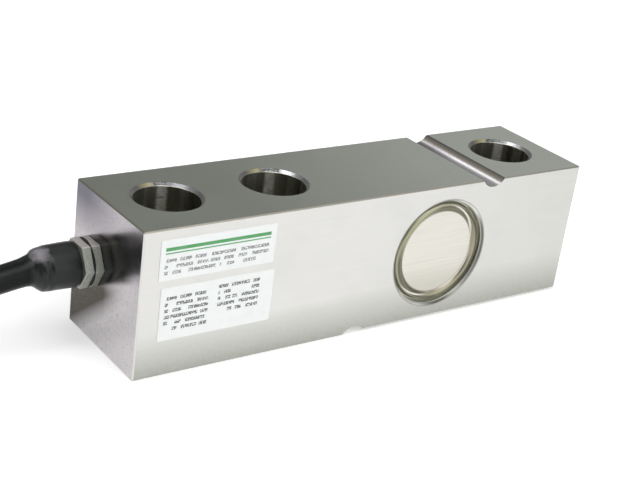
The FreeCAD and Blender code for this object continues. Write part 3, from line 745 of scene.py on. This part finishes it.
def bore_streaks(x, y, reach, turned_lines):
    """1 on the painted highlights: the bright streaks down the bores."""
    main = hole_sector(x, y, reach, **MAIN_STREAK) * ramp(turned_lines, 0.2, 0.6)
    return main + 0.3 * hole_sector(x, y, reach, **SIDE_STREAK)


def rim_tone(x, y, reach, speckle):
    """The rims' colour by the angle round each hole: painted shade, a painted straw reflection and painted
    highlights, with more painted shade on the rim next to the cable.
    """
    # painted shade, a painted straw reflection and painted highlights, each in a sector round the holes
    shade = hole_sector(x, y, reach, **SHADE_SECTOR) * ramp(speckle, 0.68, 0.5)
    tone = blend(shade, RIM_TONE, RIM_SHADE)
    tone = blend(hole_sector(x, y, reach, **STRAW_SECTOR), tone, RIM_STRAW)
    bright = hole_sector(x, y, reach, **BRIGHT_SECTOR) * ramp(speckle, 0.35, 0.55)
    tone = blend(bright, tone, RIM_BRIGHT)
    # more painted shade on the rim next to the cable
    dull_and_shade = hole_sector(x, y, reach, **CABLE_SHADE_SECTOR) * ramp(x, *CABLE_SHADE_STARTS)
    return blend(dull_and_shade * 0.78, tone, RIM_CABLE_SHADE)


print("rims:", BORE_REACH, "to", RIM_REACH, "mm from the holes' axes")

# %% Tone of the recess
RECESS_WALL = rgb(0.78, 0.78, 0.69)
RECESS_TONE = rgb(0.19, 0.195, 0.175)
RECESS_DARK = rgb(0.13, 0.13, 0.105)
# painted highlights and painted shade on the recess's chamfer
RECESS_BRIGHT = rgb(0.80, 0.795, 0.77)
RECESS_LOW = rgb(0.12, 0.12, 0.105)
RECESS_REACH = 19.02
RECESS_DEEP = 17.0
MOUTH_LINE = (19.5, 19.2)
WALL_ENDS = (18.2, 18.6)
GLEAM_EDGE = (18.3, 18.6)
GLINT_EDGE = (18.3, 18.5)
GLEAM_TURN = 58
GLINT_TURN = -42
LOW_TURN = 276


def recess_tone(x, z, from_cover, recess_lines):
    """The recess round a cover: its pale wall, then its dark chamfer with painted highlights and painted
    shade at its lowest part.
    """
    tone = blend(ramp(from_cover, *WALL_ENDS), RECESS_WALL, RECESS_TONE)
    tone = blend(ramp(recess_lines, 0.4, 0.6) * 0.5, tone, RECESS_DARK)
    # painted shade at the chamfer's lowest part
    lowest = cover_side(x, z, from_cover, LOW_TURN) * ramp(from_cover, *GLINT_EDGE)
    tone = blend(lowest, tone, RECESS_LOW)
    # painted highlights on the chamfer
    gleam = cover_sweep(x, z, from_cover, GLEAM_TURN) ** 3 * ramp(from_cover, *GLEAM_EDGE)
    glint = cover_side(x, z, from_cover, GLINT_TURN) * ramp(from_cover, *GLINT_EDGE)
    return blend(gleam + glint * 0.3, tone, RECESS_BRIGHT)


print("recess:", RECESS_REACH, "mm from the covers' axis")

# %% Ground steel
FRONT_TONE = rgb(0.662, 0.657, 0.639)
TOP_TONE = rgb(0.60, 0.635, 0.565)
# painted shade: the top darkens towards the cable end
TOP_SHADE = rgb(0.44, 0.475, 0.41)
# painted shade on the broken edges that face up
EDGE_SHADE = rgb(0.42, 0.39, 0.33)
GROOVE_TONE = rgb(0.60, 0.585, 0.60)
GROOVE_DULL = rgb(0.34, 0.325, 0.345)
# painted shade: the front darkens towards its foot
FOOT_SHADE = rgb(0.315, 0.325, 0.287)
LINE_TONE = rgb(0.46, 0.47, 0.42)
FOOT_HEIGHT = 15.0
TOP_CLEARS = (-45, 30)
FRONT_DIMS = (-10, 85)
GROOVE_DULLS = (2, 14)


def facing(number):
    """1 where the surface faces along an axis, either way, and 0 where it leans from it."""
    return ramp(abs(number), 0.75, 0.95)


def ground_steel(field):
    place = place_mm(field)
    x, y, z = parts(place)
    face_x, face_y, face_z = parts(field.node("ShaderNodeNewGeometry", out="Normal"))
    is_top = facing(face_z)
    is_end = facing(face_x)
    is_side = facing(face_y)
    reach = hole_reach(x, y)
    in_bore = reach < BORE_REACH**2
    on_rim = (reach < RIM_REACH**2) - in_bore
    from_cover = cover_reach(x, z)
    in_groove = (abs(x - GROOVE_X) < GROOVE_HALF) * (z > GROOVE_FLOOR) * (z < BAR_TOP) * (1 - is_side)
    in_recess = (from_cover < RECESS_REACH) * (abs(y) > RECESS_DEEP) * (1 - is_side)

    fine = noise(stretched(place, 0.02, 1.0, 1.0), 5.0, 3.0, 0.7)
    broad = noise(stretched(place, 0.012, 1.0, 1.0), 0.7, 3.0, 0.6)
    lines = fine * 0.65 + broad * 0.35
    mottle = noise(place, 0.9, 4.0, 0.6)
    smudge = noise(joined(x + z * 0.8, y, z - x * 0.3), 0.045, 3.0, 0.6)
    pits = ramp(noise(place, 1.5, 1.0), 0.66, 0.73)
    marks = scratches(x, y, 68, 0.8) + scratches(x, y, -35, 0.6)
    upright = noise(stretched(place, 1.0, 1.0, 0.02), 0.35, 3.0, 0.6)
    turned_lines = noise(stretched(place, 0.1, 0.1, 1.0), 4.5, 2.0, 0.6)
    recess_lines = noise(joined(from_cover, y, 0.0), 3.5, 2.0, 0.6)
    speckle = noise(place, 2.4, 2.0, 0.6)

    # painted shade: the top darkens towards the cable end
    top_tone = blend(ramp(x, *TOP_CLEARS), TOP_SHADE, TOP_TONE)
    front_tone = blend(ramp(x, *FRONT_DIMS) * 0.31, FRONT_TONE, LINE_TONE)
    tone = blend(is_top, front_tone, top_tone)
    tone = blend(is_end, tone, END_FOOT)
    tone = blend(ramp(face_x, -0.75, -0.95), tone, end_tone(y, z, mottle, pits))
    # painted shade on the broken edges that face up
    on_edge = (1 - is_top) * (1 - is_side) * (1 - is_end) * ramp(face_z, 0.3, 0.6)
    tone = blend(on_edge, tone, EDGE_SHADE)
    groove_tone = blend(ramp(y, *GROOVE_DULLS), GROOVE_TONE, GROOVE_DULL)
    tone = blend(in_groove * ramp(face_x, -0.65, -0.55), tone, groove_tone)
    # painted shade: the front darkens towards its foot
    foot = (1 - ramp(z, 0.0, FOOT_HEIGHT)) * (0.8 + 0.5 * mottle) * is_side
    tone = blend(foot * 0.85, tone, FOOT_SHADE)
    tone = blend(ramp(lines, 0.4, 0.7) * (1 - is_end) * 0.13, tone, LINE_TONE)
    tone = blend(ramp(smudge, 0.45, 0.7) * is_side * 0.12, tone, LINE_TONE)
    tone = blend(marks * is_top * 0.1, tone, RIM_TONE)
    # painted highlights down the bores
    streaks = bore_streaks(x, y, reach, turned_lines) * in_bore
    bore_tone = blend(ramp(upright, 0.48, 0.6) * 0.6, BORE_TONE, BORE_LINE)
    tone = blend(in_bore, tone, blend(streaks, bore_tone, BORE_STREAK))
    tone = blend(on_rim, tone, rim_tone(x, y, reach, speckle))
    mouth = ramp(from_cover, *MOUTH_LINE) * is_side
    tone = blend(mouth * 0.6, tone, RECESS_TONE)
    tone = blend(in_recess, tone, recess_tone(x, z, from_cover, recess_lines))

    roughness = 0.25 + 0.12 * lines + 0.1 * smudge + 0.22 * streaks
    roughness = roughness + 0.15 * in_recess - 0.15 * is_end + 0.02 * on_rim - 0.13 * in_groove
    flat_grain = lines * (1 - is_end) * (1 - in_bore) + mottle * is_end * 0.4
    grain = flat_grain + turned_lines * in_bore * 2.0 + recess_lines * in_recess
    return {
        "Base Color": tone,
        "Metallic": 1.0,
        "Roughness": roughness,
        "Normal": bump(grain, 0.02),
    }


dress(make_finish("ground_steel", ground_steel), "beam")

# %% [markdown]
# ## Pressed covers
# The round covers are thin bright sheet, pressed over a bead and welded into a recess. The flat keeps the
# warm, faint lines of the rolled sheet and has painted shade on its lower part. The bead's narrow bright and
# dark bands are painted: a painted sheen along one slant, painted highlights on its fold and in two
# crescents, painted light on the slope's lower right, painted shade on its right and a painted shadow at its
# foot. The weld has left a straw tint and the flange outside it is pale. Each band could be a piece of its
# own, but a cover is one sheet, so the distance from its axis picks the tone.

# %% Tones of the pressed sheet
SHEET_TONE = rgb(0.685, 0.665, 0.61)
SHEET_LINE = rgb(0.585, 0.565, 0.51)
# painted shade on the flat's lower part
SHEET_SHADE = rgb(0.45, 0.45, 0.385)
SLOPE_TONE = rgb(0.20, 0.195, 0.14)
# painted light on the slope's lower right
SLOPE_LOW_LIGHT = rgb(0.36, 0.335, 0.25)
# painted highlights on the fold and in two crescents
SLOPE_HIGHLIGHT = rgb(0.72, 0.70, 0.65)
# painted sheen along one slant of the bead, over its painted shade
BEAD_SHEEN = rgb(0.36, 0.385, 0.223)
BEAD_SHADE = rgb(0.14, 0.135, 0.10)
# painted shade on the bead's right
BEAD_RIGHT_SHADE = rgb(0.26, 0.245, 0.17)
BEAD_DEEP_SHADE = rgb(0.075, 0.07, 0.045)
# painted shadow at the bead's foot
BEAD_FOOT_SHADOW = rgb(0.12, 0.115, 0.082)
WELD_TONE = rgb(0.44, 0.43, 0.335)
WELD_DARK = rgb(0.42, 0.41, 0.32)
FLANGE_TONE = rgb(0.68, 0.68, 0.58)
FLAT_ENDS = (14.25, 14.45)
FOLD_LINE = (14.6, 14.85)
CREST_STARTS = (15.75, 16.15)
CRESCENT = (15.9, 16.2)
RIGHT_DARKENS = (16.0, 16.35)
WELD_STARTS = (16.5, 17.0)
FOOT_STARTS = (17.2, 17.35)
FLANGE_STARTS = (17.4, 17.65)
SHEEN_TURN = 138


def band(value, edges, soft):
    """1 between two edges, with soft sides."""
    low, high = edges
    return ramp(value, low - soft, low) * (1 - ramp(value, high, high + soft))


def bead_tone(away_x, reach, sheen_sweep):
    """The bead's crest: a painted olive sheen along one slant, and painted shade on its right."""
    tone = blend(sheen_sweep, BEAD_SHADE, BEAD_SHEEN)
    # painted shade on the bead's right
    right_shade = blend(ramp(reach, *RIGHT_DARKENS), BEAD_RIGHT_SHADE, BEAD_DEEP_SHADE)
    return blend(ramp(away_x, 2, 10), tone, right_shade)


print("bead: from", FLAT_ENDS[0], "to", FLANGE_STARTS[0], "mm from the covers' axis")


# %% Pressed sheet
def pressed_sheet(field):
    place = place_mm(field)
    x, _, z = parts(place)
    away_x = x - COVER_X
    away_z = z - COVER_Z
    down_right = away_x * 0.8 - away_z * 0.6
    reach = cover_reach(x, z)
    off_flat = ramp(reach, *FLAT_ENDS)
    at_weld = ramp(reach, *WELD_STARTS)
    # painted sheen along one slant
    sheen_sweep = cover_sweep(x, z, reach, SHEEN_TURN)
    lines = noise(stretched(place, 0.02, 1.0, 1.0), 2.2, 3.0, 0.6)
    cloud = noise(place, 0.09, 3.0)
    rings = noise(joined(reach, 0.0, 0.0), 3.0, 2.0, 0.6)

    # painted light on the slope's lower right
    slope_tone = blend(ramp(down_right, 5, 13), SLOPE_TONE, SLOPE_LOW_LIGHT)
    # painted highlight on the fold
    slope_tone = blend(band(reach, FOLD_LINE, 0.1) * sheen_sweep, slope_tone, SLOPE_HIGHLIGHT)
    # painted highlights: two crescents at opposite angles
    drifted = reach + away_x * 0.125 - away_z * 0.075
    crescent = band(drifted, CRESCENT, 0.25) * cover_sweep(x, z, reach)
    weld_tone = blend(ramp(away_x, -12, 8), WELD_DARK, WELD_TONE)
    tone = blend(ramp(lines, 0.35, 0.7) * 0.6, SHEET_TONE, SHEET_LINE)
    # painted shade on the flat's lower part
    tone = blend(ramp(away_z, -4, -11) * 0.5, tone, SHEET_SHADE)
    tone = blend(off_flat, tone, slope_tone)
    # painted sheen and painted shade on the bead's crest
    tone = blend(ramp(reach, *CREST_STARTS), tone, bead_tone(away_x, reach, sheen_sweep))
    tone = blend(crescent, tone, SLOPE_HIGHLIGHT)
    tone = blend(at_weld, tone, weld_tone)
    # painted shadow at the bead's foot
    tone = blend(ramp(reach, *FOOT_STARTS) * ramp(down_right, -5, 6), tone, BEAD_FOOT_SHADOW)
    tone = blend(ramp(reach, *FLANGE_STARTS), tone, FLANGE_TONE)
    return {
        "Base Color": tone,
        "Metallic": 1.0,
        "Roughness": 0.27 + 0.1 * cloud + 0.06 * lines + 0.08 * off_flat,
        "Normal": bump(lines * (1 - off_flat) + rings * at_weld * 2.0, 0.012),
    }


dress(make_finish("pressed_sheet", pressed_sheet), "front_cover", "rear_cover")

# %% [markdown]
# ## Gland, rubber and cable
# The gland's hexagons are nickel-plated and slightly grainy, with a painted pale, warm reflection on the
# faces
# that look up. The washer and seals, the boot and the cable's jacket are black, but none is quite black:
# rubber shows a soft sheen and dust in its pores, the boot has a painted sheen on top of its shoulder and
# painted shade along its neck, and the jacket is smoother. A plain black would do from afar, but then the
# three would look like one piece.

# %% Nickel, rubber and jacket
NICKEL_DARK = rgb(0.37, 0.39, 0.35)
NICKEL_PALE = rgb(0.61, 0.63, 0.57)
# painted reflection: the hexagons' faces that look up are pale and warm
NICKEL_UP_REFLECTION = rgb(0.84, 0.77, 0.77)
RUBBER_DARK = rgb(0.008, 0.010, 0.009)
RUBBER_PALE = rgb(0.018, 0.019, 0.020)
RUBBER_DUST = rgb(0.12, 0.12, 0.12)
# painted sheen on top of the boot's shoulder
RUBBER_SHEEN = rgb(0.25, 0.235, 0.26)
JACKET_DARK = rgb(0.004, 0.005, 0.003)
JACKET_PALE = rgb(0.010, 0.011, 0.008)
SKIN_DEPTH = 0.02


def grainy_nickel(field):
    place = place_mm(field)
    grain = noise(place, 3.0, 3.0, 0.7)
    cloud = noise(place, 0.4, 2.0)
    tone = blend(ramp(grain, 0.35, 0.65), NICKEL_DARK, NICKEL_PALE)
    face_z = parts(field.node("ShaderNodeNewGeometry", out="Normal"))[2]
    return {
        # painted reflection on the faces that look up
        "Base Color": blend(ramp(face_z, 0.6, 0.85) * 0.6, tone, NICKEL_UP_REFLECTION),
        "Metallic": 1.0,
        "Roughness": 0.5 + 0.1 * grain + 0.1 * cloud,
        "Normal": bump(grain, SKIN_DEPTH),
    }


def soft_rubber(field):
    place = place_mm(field)
    grain = noise(place, 2.2, 4.0, 0.6)
    cloud = noise(place, 0.22, 2.0)
    dust = ramp(noise(place, 5.0, 1.0), 0.66, 0.74)
    tone = blend(cloud, RUBBER_DARK, RUBBER_PALE)
    return {
        "Base Color": blend(dust * 0.25, tone, RUBBER_DUST),
        "Roughness": 0.25 + 0.12 * grain,
        "Specular IOR Level": 0.3,
        "Normal": bump(grain, SKIN_DEPTH),
    }


# where the painted sheen lies on the boot's shoulder
SHEEN_PLACE = (-104.0, 6.2, 32.2)
SHEEN_REACH = (2.9, 3.4, 2.6)
# where painted shade starts along the boot's neck
NECK_STARTS = (-105.5, -108.0)


def boot_rubber(field):
    """The boot has a painted sheen on top of its shoulder, and painted shade along its neck, where metallic
    black dims its reflections.
    """
    sockets = soft_rubber(field)
    place = place_mm(field)
    x, y, z = parts(place)
    sizes = zip((x, y, z), SHEEN_PLACE, SHEEN_REACH)
    away_x, away_y, away_z = [(value - middle) / reach for value, middle, reach in sizes]
    away = away_x * away_x + away_y * away_y + away_z * away_z
    # painted sheen on top of the shoulder
    shoulder_sheen = ramp(away + noise(place, 0.55, 3.0, 0.6) * 1.6, 2.1, 0.55)
    sockets["Base Color"] = blend(shoulder_sheen, sockets["Base Color"], RUBBER_SHEEN)
    # painted shade: a metallic black dims the neck's reflections
    sockets["Metallic"] = ramp(x, *NECK_STARTS) * 0.9
    return sockets


def smooth_jacket(field):
    place = place_mm(field)
    grain = noise(place, 3.0, 3.0, 0.6)
    return {
        "Base Color": blend(noise(place, 0.2, 2.0), JACKET_DARK, JACKET_PALE),
        "Roughness": 0.42 + 0.2 * grain,
        "Specular IOR Level": 0.25,
        "Normal": bump(grain, SKIN_DEPTH),
    }


dress(make_finish("grainy_nickel", grainy_nickel), "gland_body", "gland_nut")
rubber_finish = make_finish("soft_rubber", soft_rubber)
dress(rubber_finish, "gland_washer", "gland_seal", "gland_gasket", "end_sleeve")
boot.data.materials.append(make_finish("boot_rubber", boot_rubber))
cable_curve.materials.append(make_finish("smooth_jacket", smooth_jacket))

# %% [markdown]
# ## Labels
# Two white foil labels are stuck on the front. Their print is generic: two green stripes over three grey rows
# on one, and two blocks of dark rows on the other, all made of short strokes. A picture could be mapped on,
# but fields worked out from the place on the label stay sharp at any size. A row is where the height, counted
# in row pitches, has a small fraction. Coarse noise along the row breaks it into blocks, and finer noise
# breaks these into strokes.

# %% Label foil and its fields
FOIL_TONE = rgb(0.94, 0.965, 0.955)
FOIL_GREYED = rgb(0.62, 0.63, 0.60)
BAND_TONE = rgb(0.07, 0.36, 0.11)
UPPER_INK = rgb(0.13, 0.13, 0.14)
LOWER_INK = rgb(0.035, 0.035, 0.04)
STRIPE_HEIGHTS = [(9.3, 10.4), (8.35, 8.75)]
STRIPE_ENDS = (1.6, 37.4)
UPPER_ROWS = {"top": 7.2, "pitch": 1.95, "count": 3, "ends": (1.6, 37.0)}
LEFT_ROWS = {"top": 14.6, "pitch": 2.0, "count": 6, "ends": (1.6, 16.4)}
RIGHT_ROWS = {"top": 15.6, "pitch": 2.0, "count": 5, "ends": (79.6, 94.0)}
RIGHT_SHIFT = 60.0
INKED_SHARE = (0.2, 0.75)
BLOCK_GAPS = 0.42
STROKE_GAPS = 0.44


def within(value, low, high):
    """1 between low and high, and 0 elsewhere."""
    return (value > low) * (value < high)


def rows(u, v, top, pitch, count, ends):
    """Broken rows of print: from a top, by a pitch, between two ends across the label."""
    down = (top - v) / pitch
    number = down.maths("FLOOR", down)
    inked = within(down.maths("FRACT", down), *INKED_SHARE) * within(down, 0, count)
    blocks = noise(joined(u * 0.4, number * 7.3, 0.0), 1.0, 0.0) > BLOCK_GAPS
    strokes = noise(joined(u * 2.6, down * 3.4, 0.0), 1.0, 1.0) > STROKE_GAPS
    return inked * blocks * strokes * within(u, *ends)


def upper_print(u, v):
    wide, narrow = [within(v, *heights) for heights in STRIPE_HEIGHTS]
    stripes = (wide + narrow) * within(u, *STRIPE_ENDS)
    return [(stripes, BAND_TONE), (rows(u, v, **UPPER_ROWS) * 0.8, UPPER_INK)]


def lower_print(u, v):
    left = rows(u, v, **LEFT_ROWS)
    right = rows(u + RIGHT_SHIFT, v, **RIGHT_ROWS)
    return [((left + right) * 0.9, LOWER_INK)]


def label_recipe(node, print_fields):
    """A foil whose print is given as (mask, colour) pairs by place on the label, in millimetres."""
    low, high = (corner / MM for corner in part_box(node))
    print(node, "is", round(high.x - low.x, 1), "by", round(high.z - low.z, 1), "mm")

    def recipe(field):
        place = place_mm(field)
        x, _, z = parts(place)
        tone = FOIL_TONE
        for mask, colour in print_fields(x - low.x, z - low.z):
            tone = blend(mask, tone, colour)
        cloud = noise(place, 0.3, 3.0)
        tone = blend(ramp(cloud, 0.4, 0.75) * 0.12, tone, FOIL_GREYED)
        fibre = noise(place, 2.0, 3.0)
        return {"Base Color": tone, "Roughness": 0.38 + 0.15 * fibre, "Normal": bump(fibre, 0.01)}

    return recipe


dress(make_finish("upper_foil", label_recipe("upper_label", upper_print)), "upper_label")
dress(make_finish("lower_foil", label_recipe("lower_label", lower_print)), "lower_label")

# %% [markdown]
# ## Pieces inside, and the cable's end
# Under the covers lie gauges, strips, a small board and fine wires, and at the cable's end are the flying
# leads. They are small, so one recipe with a tone, a duller tone, a gloss and a grain is enough for each.

# %% Small pieces
def mixed(tone, dull_and_shade, roughness, metallic, grain):
    """A recipe for a small piece: two tones in clouds, over a grain of a size in millimetres."""

    def recipe(field):
        place = place_mm(field)
        cloud = ramp(noise(place, 0.4 / grain, 3.0), 0.35, 0.65)
        fine = noise(place, 1 / grain, 3.0)
        return {
            "Base Color": blend(cloud, rgb(*tone), rgb(*dull_and_shade)),
            "Metallic": metallic,
            "Roughness": roughness - 0.1 + 0.2 * fine,
            "Normal": bump(fine, 0.02),
        }

    return recipe


SIDES = ("front", "rear")
SMALL_PIECES = {
    "amber_film": (
        mixed((0.52, 0.29, 0.05), (0.42, 0.22, 0.04), 0.3, 0.0, 0.8),
        [f"{side}_gauge_film" for side in SIDES],
    ),
    "etched_foil": (
        mixed((0.66, 0.47, 0.33), (0.56, 0.38, 0.26), 0.35, 1.0, 0.2),
        [f"{side}_{hand}_grid" for side in SIDES for hand in ("left", "right")],
    ),
    "solder_strip": (
        mixed((0.70, 0.50, 0.26), (0.58, 0.40, 0.22), 0.4, 1.0, 0.4),
        [f"{side}_terminal_strip" for side in SIDES],
    ),
    "green_board": (
        mixed((0.03, 0.16, 0.06), (0.02, 0.12, 0.05), 0.35, 0.0, 0.5),
        ["compensation_board"],
    ),
    "dark_ceramic": (
        mixed((0.035, 0.035, 0.04), (0.05, 0.05, 0.055), 0.4, 0.0, 0.3),
        ["zero_resistor", "span_resistor", "temperature_resistor"],
    ),
    "bare_copper": (
        mixed((0.80, 0.45, 0.28), (0.68, 0.36, 0.22), 0.3, 1.0, 0.2),
        [f"{side}_jumpers" for side in SIDES],
    ),
    "lacquered_copper": (
        mixed((0.62, 0.27, 0.10), (0.50, 0.20, 0.07), 0.25, 1.0, 0.4),
        [f"{way}_wire_{i}" for way in ("web", "bridge") for i in range(1, 5)],
    ),
    "red_insulation": (
        mixed((0.52, 0.03, 0.025), (0.44, 0.03, 0.025), 0.4, 0.0, 0.5),
        ["conductor_red", "lead_red"],
    ),
    "black_insulation": (
        mixed((0.02, 0.02, 0.021), (0.03, 0.03, 0.031), 0.4, 0.0, 0.5),
        ["conductor_black", "lead_black"],
    ),
    "green_insulation": (
        mixed((0.03, 0.26, 0.06), (0.025, 0.21, 0.05), 0.4, 0.0, 0.5),
        ["conductor_green", "lead_green"],
    ),
    "white_insulation": (
        mixed((0.80, 0.80, 0.77), (0.72, 0.72, 0.69), 0.4, 0.0, 0.5),
        ["conductor_white", "lead_white"],
    ),
    "tinned_strands": (
        mixed((0.66, 0.66, 0.65), (0.54, 0.54, 0.53), 0.35, 1.0, 0.2),
        ["conductor_drain", "lead_drain"],
    ),
    "black_nylon": (
        mixed((0.025, 0.025, 0.026), (0.04, 0.04, 0.041), 0.45, 0.0, 0.6),
        ["hank_tie"],
    ),
}
for name, (recipe, names) in SMALL_PIECES.items():
    dress(make_finish(name, recipe), *names)
